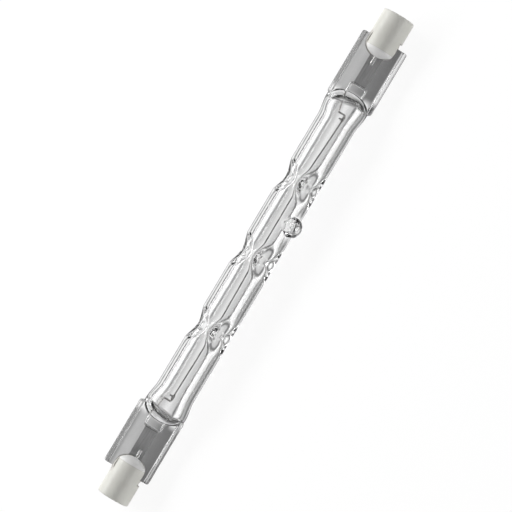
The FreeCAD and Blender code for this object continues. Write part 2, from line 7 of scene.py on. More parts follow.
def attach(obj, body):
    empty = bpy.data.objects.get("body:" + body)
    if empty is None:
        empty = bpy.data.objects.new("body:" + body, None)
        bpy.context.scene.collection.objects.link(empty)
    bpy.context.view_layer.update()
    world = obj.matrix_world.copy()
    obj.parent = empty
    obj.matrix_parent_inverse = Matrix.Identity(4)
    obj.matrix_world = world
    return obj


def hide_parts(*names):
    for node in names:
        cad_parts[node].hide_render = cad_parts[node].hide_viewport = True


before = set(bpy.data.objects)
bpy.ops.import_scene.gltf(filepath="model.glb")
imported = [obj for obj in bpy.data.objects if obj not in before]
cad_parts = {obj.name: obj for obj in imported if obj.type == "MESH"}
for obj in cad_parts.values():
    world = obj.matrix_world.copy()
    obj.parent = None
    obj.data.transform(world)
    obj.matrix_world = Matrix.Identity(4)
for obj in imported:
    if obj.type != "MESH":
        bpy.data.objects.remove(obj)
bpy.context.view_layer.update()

MM = 0.001

# The lamp's own sizes, in millimetres. X runs along it, Y across the flat blades, Z square to them. What both ends
# have is given for the right one, and the left one mirrors it.
TUBE_RADIUS, BORE_RADIUS = 4.35, 3.2
TUBE_WALL = TUBE_RADIUS - BORE_RADIUS
FLARE_START, FLARE_HALF_WIDTH, FLARE_HALF_HEIGHT = 32.62, 4.85, 3.95
NOSE_BASE, NOSE_LENGTH = 37.02, 3.0
GAS_NOSE_BASE, GAS_NOSE_LENGTH = 36.62, 1.7
GAS_LEAN, GAS_LEAN_LINE, GAS_LEAN_RUN = 0.1, 1, 3
BLADE_START, BLADE_END, BLADE_HALF, BLADE_CORNER = 37.72, 52.67, 5.35, 0.6
BLADE_SHIFT = {-1: 0.36, 1: -0.2}
WEB_HALF, RAIL_HALF, RAIL_ROUND = 1.45, 1.8, 0.5
KNUCKLE_PLACE, KNUCKLE_OUT = 38.6, 4.66
KNUCKLE_LONG, KNUCKLE_WIDE, KNUCKLE_HIGH = 1.1, 0.62, 1.75
CRIMP_PLACES, CRIMP_REACH = (-18.0, 0.0, 18.0), 2.6
DIMPLE_ANGLES = tuple(math.radians(90 + turn) for turn in (48, 157, 277))
DIMPLE_FACE, INNER_DIMPLE_FACE = 2.65, 1.3
DIMPLE_WIDENING, DIMPLE_ROUND = (0.66, 0.66, 0.62), (0.8, 0.8, 0.3)
DIMPLE_FLAT, DIMPLE_SLOPE = 0.95, math.tan(math.radians(33))
PIP_PLACE, PIP_ANGLE = 9.2, math.radians(90 + 50)
PIP_ROOT, PIP_SHOULDER, PIP_TOP, PIP_TIP_DROP = 2.5, 4.9, 6.75, 0.2
PIP_BASE_RADIUS, PIP_TOP_RADIUS, PIP_TIP_RADIUS = 2.1, 0.95, 0.65
PIP_BORE_ROOT, PIP_BORE_TOP, PIP_BORE_RADIUS, PIP_BORE_TAPER = 1.5, 6.15, 1.6, 0.45
WIRE_HEIGHT = -0.11
LEAD_RADIUS, LEAD_REACH = 0.19, 1.6
LOOP_PLACE, LOOP_DEPTH, LOOP_HALF = 41.92, 2.3, 1.8
HOOK_PLACE, HOOK_LENGTH, HOOK_HEIGHT = 35.05, 1.1, 0.85
LOOP_BEND, LEAVE_BEND, HOOK_BEND = 0.65, 1.8, 0.28
OUTER_LEAD_RADIUS, OUTER_LEAD_START = 0.3, 46.98
SEAL_GAP, LEAD_GAP_START, ROD_GAP_END = 0.09, 39.1, 52
COIL_END, COIL_RADIUS, COIL_END_RADIUS = 34.75, 0.18, 0.33
COIL_END_LENGTH, COIL_END_STEP = 1.25, 0.15
COIL_WIRE, COIL_PITCH = 0.045, 0.13
COIL_SAG = ((-34.75, -0.08), (-33.5, -0.08), (-18, -0.4), (0, -0.05), (18, -0.05), (33.5, -0.85), (34.75, -0.85))
CAP_OUTER_END, CAP_INNER_END, CAP_RADIUS, CAP_OUTER_ROUND = 58.8, 48.85, 3.6, 0.4
DOME_LENGTH, DOME_DROP, DOME_CURVE, DOME_STEPS = 1.75, 1.65, 1.9, 14
RECESS_RADIUS, RECESS_CHAMFER, BORE_ROUND = 2.3, 0.25, 0.1
SLOT_FLOOR, SLOT_HALF, SLOT_EDGE_ROUND = 53.87, 1.9, 0.12
SLOT_EDGE_ANGLE, SHARP_ANGLE = math.radians(50), math.radians(35)
CONTACT_FACE, CONTACT_SEAT, CONTACT_RADIUS, SHANK_RADIUS = 57.1, 56.5, 1.8, 0.8
CEMENT_RAISED, CEMENT_CLEAR = 0.2, 0.01

# Half the thickness of a blade at these distances from its middle line, and the outline of the cement in its cap
# as places along X with their radii
RAIL_FLANK = ((4.22, WEB_HALF), (4.46, 1.65), (4.54, RAIL_HALF))
CEMENT_OUTLINE = (
    (48.86, 0.86), (48.86, 1.6), (49.06, 2.1), (49.55, 2.76), (50.17, 3.32), (50.8, 3.6), (51.8, 3.7),
    (52.6, 3.62), (53.1, 3.42), (53.86, 3.38), (53.86, 0.86),
)

# How far neighbouring forms melt into each other
BLADE_EDGE_SOFT, BLADE_END_SOFT, BLADE_START_SOFT = 1.2 * RAIL_ROUND, 0.25, 0.5
PIP_TOP_SOFT, PIP_ROOT_SOFT, PIP_FILLET, BLADE_FILLET = 1.2, 0.4, 0.5, 0.2
PIP_BORE_TOP_SOFT, PIP_BORE_ROOT_SOFT, PIP_BORE_FILLET = 0.9, 0.2, 0.4

# Ripples of the surfaces: their height, their rough length and the seed that draws them. The wavy outside of the
# quartz is set in a little, so that it stays inside the source's own.
TUBE_RIPPLE, CRIMP_RIPPLE, BLADE_RIPPLE = (0.01, 7, 1), (0.04, 1.7, 2), (0.008, 4, 4)
PIP_LUMPS, PIP_GRAIN = (0.1, 1.1, 3), (0.05, 0.6, 8)
BORE_RIPPLE, BORE_CRIMP_RIPPLE, BORE_END_RIPPLE = (0.015, 6, 5), (0.05, 1.9, 6), (0.05, 2.5, 7)
BORE_ENDS, BORE_END_REACH = (-38, 38), 3
PIP_BORE_LUMPS, CEMENT_LUMPS = (0.06, 1.1, 10), (0.03, 1.3, 9)
TUBE_SET_IN, PIP_SET_IN, BLADE_SET_IN = 0.02, 0.02, 0.016

# How the finished lamp lies: rolled about X onto its tube and the lower edge of its right blade
REACH = BLADE_HALF - RAIL_ROUND - min(BLADE_SHIFT.values())
RISE = RAIL_HALF - RAIL_ROUND
ROLL = math.asin((TUBE_RADIUS - RAIL_ROUND) / math.hypot(REACH, RISE)) - math.atan2(RISE, REACH)
PIP_SWING = PIP_ANGLE - math.pi / 2 + ROLL
PIP_SIDE = PIP_TOP * math.sin(PIP_SWING) + PIP_TIP_RADIUS * math.cos(PIP_SWING)
BLADE_SIDE = (
    (BLADE_HALF - RAIL_ROUND + max(BLADE_SHIFT.values())) * math.cos(ROLL) + RISE * math.sin(ROLL) + RAIL_ROUND
)
LIES_AT = (PIP_SIDE - BLADE_SIDE) / 2


def in_frame(points):
    """Points of the lamp, in its own millimetres, as metres in the frame where it lies."""
    x, y, z = np.moveaxis(np.asarray(points, float), -1, 0)
    across = y * math.cos(ROLL) - z * math.sin(ROLL) + LIES_AT
    up = y * math.sin(ROLL) + z * math.cos(ROLL) + TUBE_RADIUS
    return np.stack((x, across, up), -1) * MM


def smooth_max(a, b, reach):
    return np.maximum(a, b) + np.maximum(reach - np.abs(a - b), 0) ** 2 / (4 * reach)


def smooth_min(a, b, reach):
    return -smooth_max(-a, -b, reach)


def eased(share):
    share = np.clip(share, 0, 1)
    return share * share * (3 - 2 * share)


def ripple(x, y, z, kind):
    """Soft irregular waves, mostly no higher than the kind's own height."""
    height, length, seed = kind
    rng = np.random.default_rng(seed)
    total = np.zeros(np.broadcast(x, y, z).shape)
    for _ in range(7):
        direction = rng.normal(size=3)
        direction /= np.linalg.norm(direction)
        stride = 2 * math.pi / (length * rng.uniform(0.7, 1.5))
        total += np.sin((x * direction[0] + y * direction[1] + z * direction[2]) * stride + rng.uniform(0, 6.28))
    return height * total / 4


# Quartz: how far a point is outside each form, in millimetres
def oval_tube(x, y, z, radius, base, length, half_width, half_height):
    share = eased((np.abs(x) - FLARE_START) / (base - FLARE_START))
    drawn_in = np.sqrt(np.maximum(1 - np.clip((np.abs(x) - base) / length, 0, 1) ** 2, 1e-6))
    wide = (radius + (half_width - radius) * share) * drawn_in
    high = (radius + (half_height - radius) * share) * drawn_in
    return (np.hypot(y / wide, z / high) - 1) * np.minimum(wide, high)


def pressed_dimples(outside, x, y, z, face):
    """Presses the dimples of each crimp into a tube, as soft cones whose flat tips are this far from its axis."""
    for place in CRIMP_PLACES:
        for angle, widening, reach in zip(DIMPLE_ANGLES, DIMPLE_WIDENING, DIMPLE_ROUND):
            across = (z * math.cos(angle) - y * math.sin(angle)) * widening
            sloped = np.maximum(np.hypot(x - place, across) - DIMPLE_FLAT, 0) * DIMPLE_SLOPE
            outside = smooth_max(outside, y * math.cos(angle) + z * math.sin(angle) - face - sloped, reach)
    return outside


def from_blade_line(x, y):
    """Distance across the lamp from the middle line of the nearer blade."""
    return np.abs(y - np.where(x < 0, BLADE_SHIFT[-1], BLADE_SHIFT[1]))


def blade(x, y, z):
    across = from_blade_line(x, y)
    half_thickness = np.interp(across, *np.array(RAIL_FLANK).T)
    corner = np.clip(np.abs(x) - (BLADE_END - BLADE_CORNER), 0, BLADE_CORNER)
    half_width = BLADE_HALF - (BLADE_CORNER - np.sqrt(BLADE_CORNER**2 - corner**2))
    outside = smooth_max(np.abs(z) - half_thickness, across - half_width, BLADE_EDGE_SOFT)
    outside = smooth_max(outside, np.abs(x) - BLADE_END, BLADE_END_SOFT)
    return smooth_max(outside, BLADE_START - np.abs(x), BLADE_START_SOFT)


def knuckles(x, y, z):
    """The lumps of glass where each rail runs into the tube."""
    along, across = np.abs(x) - KNUCKLE_PLACE, from_blade_line(x, y) - KNUCKLE_OUT
    swell = np.sqrt((along / KNUCKLE_LONG) ** 2 + (across / KNUCKLE_WIDE) ** 2 + (z / KNUCKLE_HIGH) ** 2)
    return (swell - 1) * KNUCKLE_WIDE


def beside_pip(x, y, z):
    """Distance from the pip's axis, and height along it."""
    up = y * math.cos(PIP_ANGLE) + z * math.sin(PIP_ANGLE)
    beside = y * math.sin(PIP_ANGLE) - z * math.cos(PIP_ANGLE)
    return np.hypot(x - PIP_PLACE, beside), up


def near(x, places, reach):
    """1 at the places along the lamp, fading to 0 at this reach."""
    away = np.min([np.abs(x - place) for place in places], axis=0)
    return 1 - eased(away / reach)


def quartz_outside(x, y, z):
    tube = oval_tube(x, y, z, TUBE_RADIUS, NOSE_BASE, NOSE_LENGTH, FLARE_HALF_WIDTH, FLARE_HALF_HEIGHT)
    tube = pressed_dimples(tube, x, y, z, DIMPLE_FACE) + TUBE_SET_IN + ripple(x, y, z, TUBE_RIPPLE)
    tube = tube + near(x, CRIMP_PLACES, CRIMP_REACH) * ripple(x, y, z, CRIMP_RIPPLE)
    from_axis, up = beside_pip(x, y, z)
    taper = eased((up - PIP_SHOULDER) / (PIP_TOP - PIP_SHOULDER))
    pip_radius = PIP_BASE_RADIUS + (PIP_TOP_RADIUS - PIP_BASE_RADIUS) * taper
    pip = smooth_max(from_axis - pip_radius, up + PIP_TIP_DROP - PIP_TOP, PIP_TOP_SOFT)
    pip = smooth_max(pip, PIP_ROOT - up, PIP_ROOT_SOFT)
    pip = pip + PIP_SET_IN + ripple(x, y, z, PIP_LUMPS) + ripple(x, y, z, PIP_GRAIN)
    tube = smooth_min(tube, pip, PIP_FILLET)
    pressed_end = blade(x, y, z) + BLADE_SET_IN + ripple(x, y, z, BLADE_RIPPLE)
    return smooth_min(smooth_min(tube, pressed_end, BLADE_FILLET), knuckles(x, y, z), BLADE_FILLET)


def gas_outside(x, y, z):
    half_width, half_height = FLARE_HALF_WIDTH - TUBE_WALL, FLARE_HALF_HEIGHT - TUBE_WALL
    gas = oval_tube(x, y, z, BORE_RADIUS, GAS_NOSE_BASE, GAS_NOSE_LENGTH, half_width, half_height)
    gas = pressed_dimples(gas, x, y, z, INNER_DIMPLE_FACE) + ripple(x, y, z, BORE_RIPPLE)
    gas = gas + near(x, CRIMP_PLACES, CRIMP_REACH) * ripple(x, y, z, BORE_CRIMP_RIPPLE)
    gas = gas + near(x, BORE_ENDS, BORE_END_REACH) * ripple(x, y, z, BORE_END_RIPPLE)
    from_axis, up = beside_pip(x, y, z)
    taper = eased((up - BORE_RADIUS) / (PIP_BORE_TOP - BORE_RADIUS))
    pip_bore = smooth_max(
        from_axis - PIP_BORE_RADIUS * (1 - PIP_BORE_TAPER * taper), up - PIP_BORE_TOP, PIP_BORE_TOP_SOFT
    )
    pip_bore = smooth_max(pip_bore, PIP_BORE_ROOT - up, PIP_BORE_ROOT_SOFT) + ripple(x, y, z, PIP_BORE_LUMPS)
    return smooth_min(gas, pip_bore, PIP_BORE_FILLET)


def stations(middle, ends):
    """Places along X from (start, end, step) stretches, of which those of the right end are mirrored to the left."""
    stretches = [*middle, *ends, *((-end, -start, step) for start, end, step in ends)]
    runs = [np.linspace(start, end, max(2, round((end - start) / step) + 1)) for start, end, step in stretches]
    return np.unique(np.round(np.concatenate(runs), 5))


# Where the rays out of a blade aim, as shares of its half width and half thickness, and how closely they stand on
# the way to the next aim. Along its edges they start on a line just inside them.
RAIL_TOP, RAIL_BOTTOM, EDGE_MIDDLE = 4.65 / BLADE_HALF, 4.05 / BLADE_HALF, 4.4
BLADE_AIMS = (
    (1, 0, 1.5), (1, 1, 2), (RAIL_TOP, 1, 4), (RAIL_BOTTOM, 1, 0.45), (-RAIL_BOTTOM, 1, 4), (-RAIL_TOP, 1, 2),
    (-1, 1, 1.5), (-1, -1, 2), (-RAIL_TOP, -1, 4), (-RAIL_BOTTOM, -1, 0.45), (RAIL_BOTTOM, -1, 4),
    (RAIL_TOP, -1, 2), (1, -1, 1.5), (1, 0, 0),
)


def around(xs, count):
    """Rays out of the lamp for the ring at each place: where they start across it, and their directions.

    On the tube they fan out evenly from the axis. On a blade they stand square to its faces, closest at the rails,
    and fan out only around its edges.
    """
    turn = np.linspace(0, 2 * math.pi, count, endpoint=False)
    y, z, closeness = np.array(BLADE_AIMS).T * np.array(((BLADE_HALF,), (RAIL_HALF,), (1,)))
    gone = np.concatenate(([0], np.cumsum(np.hypot(np.diff(y), np.diff(z)) * closeness[:-1])))
    places = np.linspace(0, gone[-1], count, endpoint=False)
    aim_y, aim_z = np.interp(places, gone, y), np.interp(places, gone, z)
    start = np.clip(aim_y, -EDGE_MIDDLE, EDGE_MIDDLE)
    reach = np.hypot(aim_y - start, aim_z)
    share = eased((np.abs(xs) - FLARE_START) / (BLADE_START - FLARE_START))[:, None]
    side = np.where(xs < 0, BLADE_SHIFT[-1], BLADE_SHIFT[1])[:, None]
    cos = np.cos(turn) * (1 - share) + (aim_y - start) / reach * share
    sin = np.sin(turn) * (1 - share) + aim_z / reach * share
    length = np.hypot(cos, sin)
    return (start + side) * share, cos / length, sin / length


def skin(outside, xs, rays, largest, halvings=26):
    """The surface of a form that each of the rays leaves once: a grid of rings, in millimetres."""
    start, cos, sin = rays
    x = xs[:, None] + 0 * cos
    low, high = np.zeros_like(x), np.full_like(x, largest)
    for _ in range(halvings):
        middle = (low + high) / 2
        inside = outside(x, start + middle * cos, middle * sin) < 0
        low, high = np.where(inside, middle, low), np.where(inside, high, middle)
    radius = (low + high) / 2
    return np.stack((x, start + radius * cos, radius * sin), -1)


def ring_faces(rings, count, first=0):
    """Quads between neighbouring rings of points, facing out where the rings run along +X."""
    ring = np.arange(rings - 1)[:, None] * count + first
    step = np.arange(count)[None, :]
    after = (step + 1) % count
    quads = np.stack((ring + step, ring + after, ring + count + after, ring + count + step), -1)
    return quads.reshape(-1, 4)


class Build:
    """Gathers rings of points into one mesh."""

    def __init__(self):
        self.points, self.faces, self.total = [], [], 0

    def turned(self, side, outline, sides, lumps=(0, 1, 0), raised=0):
        """Adds a ring turned about X from a closed outline of (x, radius), mirrored where the side is the left."""
        outline = [(side * x, radius) for x, radius in outline][::side]
        x, radius = np.array(outline)[:, :, None].transpose(1, 0, 2)
        turn = np.linspace(0, 2 * math.pi, sides, endpoint=False)
        radius = radius + ripple(x, radius * np.cos(turn), radius * np.sin(turn), lumps)
        grid = np.stack((x + 0 * turn, radius * np.cos(turn) + raised, radius * np.sin(turn)), -1)
        quads = ring_faces(len(grid) + 1, sides) % (len(grid) * sides) + self.total
        self.points.append(grid.reshape(-1, 3))
        self.faces += [tuple(quad) for quad in quads]
        self.total += len(grid) * sides

    def rings(self, grid, inward=False):
        """Adds a tube of rings, with both ends closed by a fan around a point."""
        count, sides = grid.shape[:2]
        faces = [tuple(quad) for quad in ring_faces(count, sides, self.total)]
        tail = self.total + count * sides
        for centre, first, flip in ((tail, self.total, True), (tail + 1, tail - sides, False)):
            for i in range(sides):
                a, b = first + i, first + (i + 1) % sides
                faces.append((centre, b, a) if flip else (centre, a, b))
        self.points += [grid.reshape(-1, 3), grid[0].mean(0)[None], grid[-1].mean(0)[None]]
        self.faces += [face[::-1] for face in faces] if inward else faces
        self.total = tail + 2

    def piece(self, name, material):
        mesh = bpy.data.meshes.new(name)
        mesh.from_pydata([tuple(p) for p in in_frame(np.concatenate(self.points))], [], self.faces)
        mesh.polygons.foreach_set("use_smooth", [True] * len(mesh.polygons))
        mesh.materials.append(material)
        mesh.update()
        piece = bpy.data.objects.new(name, mesh)
        bpy.context.scene.collection.objects.link(piece)
        return piece


def wire_along(path, radius, sides):
    """Rings of a round wire along a path of points, in millimetres."""
    path = np.asarray(path, float)
    ahead = np.gradient(path, axis=0)
    ahead /= np.linalg.norm(ahead, axis=1)[:, None]
    up = np.zeros_like(ahead)
    guide = np.array((0.0, 0.0, 1.0))
    for i, direction in enumerate(ahead):
        guide = guide - direction * guide.dot(direction)
        guide /= np.linalg.norm(guide)
        up[i] = guide
    beside = np.cross(ahead, up)
    turn = np.linspace(0, 2 * math.pi, sides, endpoint=False)
    offsets = beside[:, None] * np.cos(turn)[None, :, None] - up[:, None] * np.sin(turn)[None, :, None]
    return path[:, None] + radius * offsets


def bent_corner(before, corner, after, bend, steps):
    """Points of the soft bend that takes the place of a corner between two straight runs."""
    back, on = before - corner, after - corner
    back, on = back / np.linalg.norm(back), on / np.linalg.norm(on)
    reach = bend / math.tan(math.acos(np.clip(back.dot(on), -1, 1)) / 2)
    start, end = corner + back * reach, corner + on * reach
    shares = np.linspace(0, 1, steps + 1) if bend else (0,)
    return [(1 - share) ** 2 * start + 2 * share * (1 - share) * corner + share**2 * end for share in shares]


def rounded_path(corners, bends, spacing):
    """Evenly spaced points along straight runs whose inner corners are rounded off with these radii."""
    corners = [np.asarray(corner, float) for corner in corners]
    points = [corners[0]]
    for before, corner, after, bend in zip(corners, corners[1:], corners[2:], bends):
        points += bent_corner(before, corner, after, bend, steps=8)
    points = np.array([*points, corners[-1]])
    gone = np.concatenate(([0], np.cumsum(np.linalg.norm(np.diff(points, axis=0), axis=1))))
    even = np.linspace(0, gone[-1], max(2, int(gone[-1] / spacing)))
    return np.stack([np.interp(even, gone, points[:, k]) for k in range(3)], -1)


def rounded_outline(corners):
    """A closed outline of (x, radius) from corners of (x, radius, round)."""
    places = [np.array(corner[:2]) for corner in corners]
    outline = []
    for i, (_, _, bend) in enumerate(corners):
        outline += bent_corner(places[i - 1], places[i], places[(i + 1) % len(places)], bend, steps=5)
    return outline


# Shader helpers
def grey(value):
    return (value, value, value, 1)


def new_material(name, **constants):
    material = bpy.data.materials.new(name)
    material.use_nodes = True
    shader = material.node_tree.nodes["Principled BSDF"]
    for socket, value in constants.items():
        shader.inputs[socket.replace("_", " ")].default_value = value
    return material, material.node_tree, shader


def add(tree, kind, inputs=(), **settings):
    """A node with its settings, and its inputs by name: a socket is linked, a value is set."""
    node = tree.nodes.new(kind)
    for key, value in settings.items():
        setattr(node, key, value)
    for name, value in dict(inputs).items():
        socket = node.inputs[name]
        if isinstance(value, bpy.types.NodeSocket):
            tree.links.new(value, socket)
        else:
            socket.default_value = value
    return node


def maths(tree, operation, *values):
    return add(tree, "ShaderNodeMath", dict(enumerate(values)), operation=operation).outputs[0]


def product(tree, *values):
    total = values[0]
    for value in values[1:]:
        total = maths(tree, "MULTIPLY", total, value)
    return total


def away_from(tree, value, place):
    return maths(tree, "ABSOLUTE", maths(tree, "SUBTRACT", value, place))


def distance(tree, first, second):
    squares = [maths(tree, "POWER", leg, 2.0) for leg in (first, second)]
    return maths(tree, "SQRT", maths(tree, "ADD", *squares))


def fade(tree, value, first, last, start, end):
    """Eases from start to end while the value goes from first to last."""
    return add(tree, "ShaderNodeMapRange", {
        "Value": value, "From Min": first, "From Max": last, "To Min": start, "To Max": end,
    }, interpolation_type="SMOOTHSTEP").outputs[0]


def fade_over(tree, value, span, start=0.0, end=1.0):
    """The same, over a span of places in millimetres."""
    return fade(tree, value, span[0] * MM, span[1] * MM, start, end)


def blend_colours(tree, share, first, second):
    return add(tree, "ShaderNodeMix", {0: share, 6: first, 7: second}, data_type="RGBA").outputs[2]


def blend_values(tree, share, first, second):
    return add(tree, "ShaderNodeMix", {0: share, 2: first, 3: second}).outputs[0]


def place_in_frame(tree):
    return add(tree, "ShaderNodeSeparateXYZ", {0: add(tree, "ShaderNodeTexCoord").outputs["Object"]}).outputs


def new_group(name, inputs, output):
    """A shader node group with these named number inputs and one named number output."""
    group = bpy.data.node_groups.new(name, "ShaderNodeTree")
    for label, value in inputs.items():
        group.interface.new_socket(label, in_out="INPUT", socket_type="NodeSocketFloat").default_value = value
    group.interface.new_socket(output, in_out="OUTPUT", socket_type="NodeSocketFloat")
    return group, add(group, "NodeGroupInput").outputs, add(group, "NodeGroupOutput").inputs[output]


def stretched_place(group, stretch):
    """Places on the lamp, drawn out along X."""
    along = maths(group, "DIVIDE", 1.0, stretch)
    scale = add(group, "ShaderNodeCombineXYZ", {0: along, 1: 1.0, 2: 1.0}).outputs[0]
    place = add(group, "ShaderNodeTexCoord").outputs["Object"]
    return add(group, "ShaderNodeVectorMath", {0: place, 1: scale}, operation="MULTIPLY").outputs[0]


# Mottling of a given size in millimetres, drawn out along the lamp by the stretch, between two values
mottle_group, mottle_in, mottle_out = new_group(
    "surface_mottle", {"Size mm": 1.0, "Stretch": 1.0, "Low": 0.0, "High": 1.0}, "Value"
)
mottle_noise = add(mottle_group, "ShaderNodeTexNoise", {
    "Vector": stretched_place(mottle_group, mottle_in["Stretch"]),
    "Scale": maths(mottle_group, "DIVIDE", 1 / MM, mottle_in["Size mm"]), "Detail": 4.0, "Roughness": 0.6,
}).outputs[0]
mottle_group.links.new(fade(mottle_group, mottle_noise, 0.3, 0.7, mottle_in["Low"], mottle_in["High"]), mottle_out)

# Small round specks or pits at a given spacing in millimetres: 1 inside a speck, 0 between them
speck_group, speck_in, speck_out = new_group("scattered_specks", {"Spacing mm": 1.0, "Speck share": 0.2}, "Mask")
speck_cells = add(speck_group, "ShaderNodeTexVoronoi", {
    "Vector": stretched_place(speck_group, 1.0),
    "Scale": maths(speck_group, "DIVIDE", 1 / MM, speck_in["Spacing mm"]),
}).outputs["Distance"]
speck_rim = maths(speck_group, "MULTIPLY", speck_in["Speck share"], 0.6)
speck_group.links.new(fade(speck_group, speck_cells, speck_rim, speck_in["Speck share"], 1.0, 0.0), speck_out)


def mottle(tree, size, low=0.0, high=1.0, stretch=1.0):
    values = {"Size mm": size, "Stretch": stretch, "Low": low, "High": high}
    return add(tree, "ShaderNodeGroup", values, node_tree=mottle_group).outputs[0]


def specks(tree, spacing, share):
    values = {"Spacing mm": spacing, "Speck share": share}
    return add(tree, "ShaderNodeGroup", values, node_tree=speck_group).outputs[0]


def set_surface(tree, shader, colour, roughness, relief, depth):
    """Links a surface's colour, roughness and relief, whose depth is in millimetres."""
    tree.links.new(colour, shader.inputs["Base Color"])
    tree.links.new(roughness, shader.inputs["Roughness"])
    bump = add(tree, "ShaderNodeBump", {"Height": relief, "Strength": 1.0, "Distance": depth * MM})
    tree.links.new(bump.outputs[0], shader.inputs["Normal"])


# Clear fused quartz: the pressed ends are a little uneven and let less through than the tube, their rails least. This
# darkening is painted shade for the darker ground seen through the pressed ends and the dark lines along their rails.
# The unevenness is a random mottle.
PRESSED_FROM, RAIL_SHADE_FROM = (37.5, 40.5), (4.85, 5.0)
CLEAR_TUBE, WEB_SHADED_LOW, WEB_SHADED_HIGH, RAIL_PAINTED_SHADE = grey(0.96), grey(0.78), grey(0.86), grey(0.42)
quartz, tree, shader = new_material("clear_quartz", Transmission_Weight=1.0, IOR=1.458)
place = place_in_frame(tree)
pressed = fade_over(tree, maths(tree, "ABSOLUTE", place["X"]), PRESSED_FROM)
beside_line = maths(tree, "SUBTRACT", place["Y"], LIES_AT * MM)
above_line = maths(tree, "SUBTRACT", place["Z"], TUBE_RADIUS * MM)
across_blade = maths(
    tree, "ADD", maths(tree, "MULTIPLY", beside_line, math.cos(ROLL)),
    maths(tree, "MULTIPLY", above_line, math.sin(ROLL)),
)
on_right = maths(tree, "GREATER_THAN", place["X"], 0.0)
blade_line = blend_values(tree, on_right, BLADE_SHIFT[-1] * MM, BLADE_SHIFT[1] * MM)
# Painted shade along the rails: their glass is tinted darkest
rail_shade_mask = fade_over(tree, away_from(tree, across_blade, blade_line), RAIL_SHADE_FROM)
web_unevenness_and_shade = blend_colours(tree, mottle(tree, 2.5, stretch=2), WEB_SHADED_LOW, WEB_SHADED_HIGH)
blade_painted_shade = blend_colours(tree, rail_shade_mask, web_unevenness_and_shade, RAIL_PAINTED_SHADE)
set_surface(
    tree, shader, colour=blend_colours(tree, pressed, CLEAR_TUBE, blade_painted_shade),
    roughness=product(tree, pressed, mottle(tree, 1.2, low=0.0, high=0.08)),
    relief=mottle(tree, 2.2, stretch=3), depth=0.006,
)

# Tungsten coil: dark, with paler and darker stretches
tungsten, tree, shader = new_material("filament_tungsten", Metallic=1.0)
set_surface(
    tree, shader, colour=blend_colours(tree, mottle(tree, 1.5), (0.2, 0.195, 0.19, 1), (0.33, 0.32, 0.31, 1)),
    roughness=mottle(tree, 0.4, low=0.35, high=0.6), relief=mottle(tree, 0.03, stretch=3), depth=0.003,
)

# Drawn tungsten wire: fine lines along it and a thin uneven oxide. The part sealed in the glass is paler: partly bare
# metal and partly a painted highlight for the bright line it makes in the glass.
SEALED_FROM, SEALED_WIRE_HIGHLIGHT = (38.6, 39.6), (0.86, 0.86, 0.85, 1)
wire, tree, shader = new_material("drawn_tungsten_wire", Metallic=1.0)
oxide = blend_colours(tree, mottle(tree, 0.7), (0.4, 0.39, 0.38, 1), (0.52, 0.51, 0.5, 1))
sealed = fade_over(tree, maths(tree, "ABSOLUTE", place_in_frame(tree)["X"]), SEALED_FROM)
# Paler where sealed in the glass: partly a painted highlight
set_surface(
    tree, shader, colour=blend_colours(tree, sealed, oxide, SEALED_WIRE_HIGHLIGHT),
    roughness=mottle(tree, 0.15, low=0.22, high=0.42), relief=mottle(tree, 0.05, stretch=20), depth=0.004,
)

# Molybdenum rod: paler, with deeper drawing lines
rod_metal, tree, shader = new_material("drawn_molybdenum_rod", Metallic=1.0)
rod_streaks = mottle(tree, 0.5, stretch=6)
set_surface(
    tree, shader, colour=blend_colours(tree, rod_streaks, (0.5, 0.49, 0.48, 1), (0.63, 0.62, 0.61, 1)),
    roughness=mottle(tree, 0.1, low=0.25, high=0.45, stretch=12), relief=mottle(tree, 0.06, stretch=30),
    depth=0.006,
)

# Etched molybdenum foil: streaks along it, and small pits shown only as darker specks of painted shade, with no
# hollow in the relief
foil, tree, shader = new_material("etched_molybdenum_foil", Metallic=1.0)
foil_streaks = blend_colours(tree, mottle(tree, 0.3, stretch=14), grey(0.5), grey(0.64))
set_surface(
    tree, shader, colour=blend_colours(tree, specks(tree, spacing=0.5, share=0.14), foil_streaks, grey(0.34)),
    roughness=mottle(tree, 0.25, low=0.45, high=0.65, stretch=8), relief=mottle(tree, 0.12, stretch=18),
    depth=0.004,
)

# Fired steatite: warm white with faint stains, fine dark specks and a soft grain. The domed end is painted whiter, as
# painted light for the light its tilted face catches. A fine line parts it from the sleeve: a shallow groove in the
# relief, darkened with painted shade.
SLEEVE_FROM, DOME_LINE, DOME_LINE_FADE = (50.5, 50.6), 50.6, (0, 0.05)
LINE_PAINTED_SHADE, LINE_DEPTH = 0.45, 3.0
DOME_PAINTED_LIGHT, SPECK_AND_LINE_SHADE = (0.97, 0.968, 0.955, 1), (0.42, 0.39, 0.34, 1)
ceramic, tree, shader = new_material("fired_steatite")
from_middle = maths(tree, "ABSOLUTE", place_in_frame(tree)["X"])
on_sleeve = fade_over(tree, from_middle, SLEEVE_FROM)
# The line between dome and sleeve: a shallow groove in the relief, darkened with painted shade
on_line = fade_over(tree, away_from(tree, from_middle, DOME_LINE * MM), DOME_LINE_FADE, 1.0, 0.0)
sleeve_colour = blend_colours(tree, mottle(tree, 3.5), (0.79, 0.785, 0.725, 1), (0.85, 0.845, 0.785, 1))
# The dome's whiter colour is painted light
ceramic_colour = blend_colours(tree, on_sleeve, DOME_PAINTED_LIGHT, sleeve_colour)
ceramic_specks = product(tree, specks(tree, spacing=0.9, share=0.1), mottle(tree, 1.6, low=0.0, high=0.5))
# Real dark specks, and the line's painted shade
specks_and_line_shade = maths(tree, "MAXIMUM", ceramic_specks, product(tree, on_line, LINE_PAINTED_SHADE))
set_surface(
    tree, shader, colour=blend_colours(tree, specks_and_line_shade, ceramic_colour, SPECK_AND_LINE_SHADE),
    roughness=mottle(tree, 1.2, low=0.36, high=0.52),
    relief=maths(tree, "SUBTRACT", mottle(tree, 0.22), product(tree, on_line, LINE_DEPTH)), depth=0.006,
)

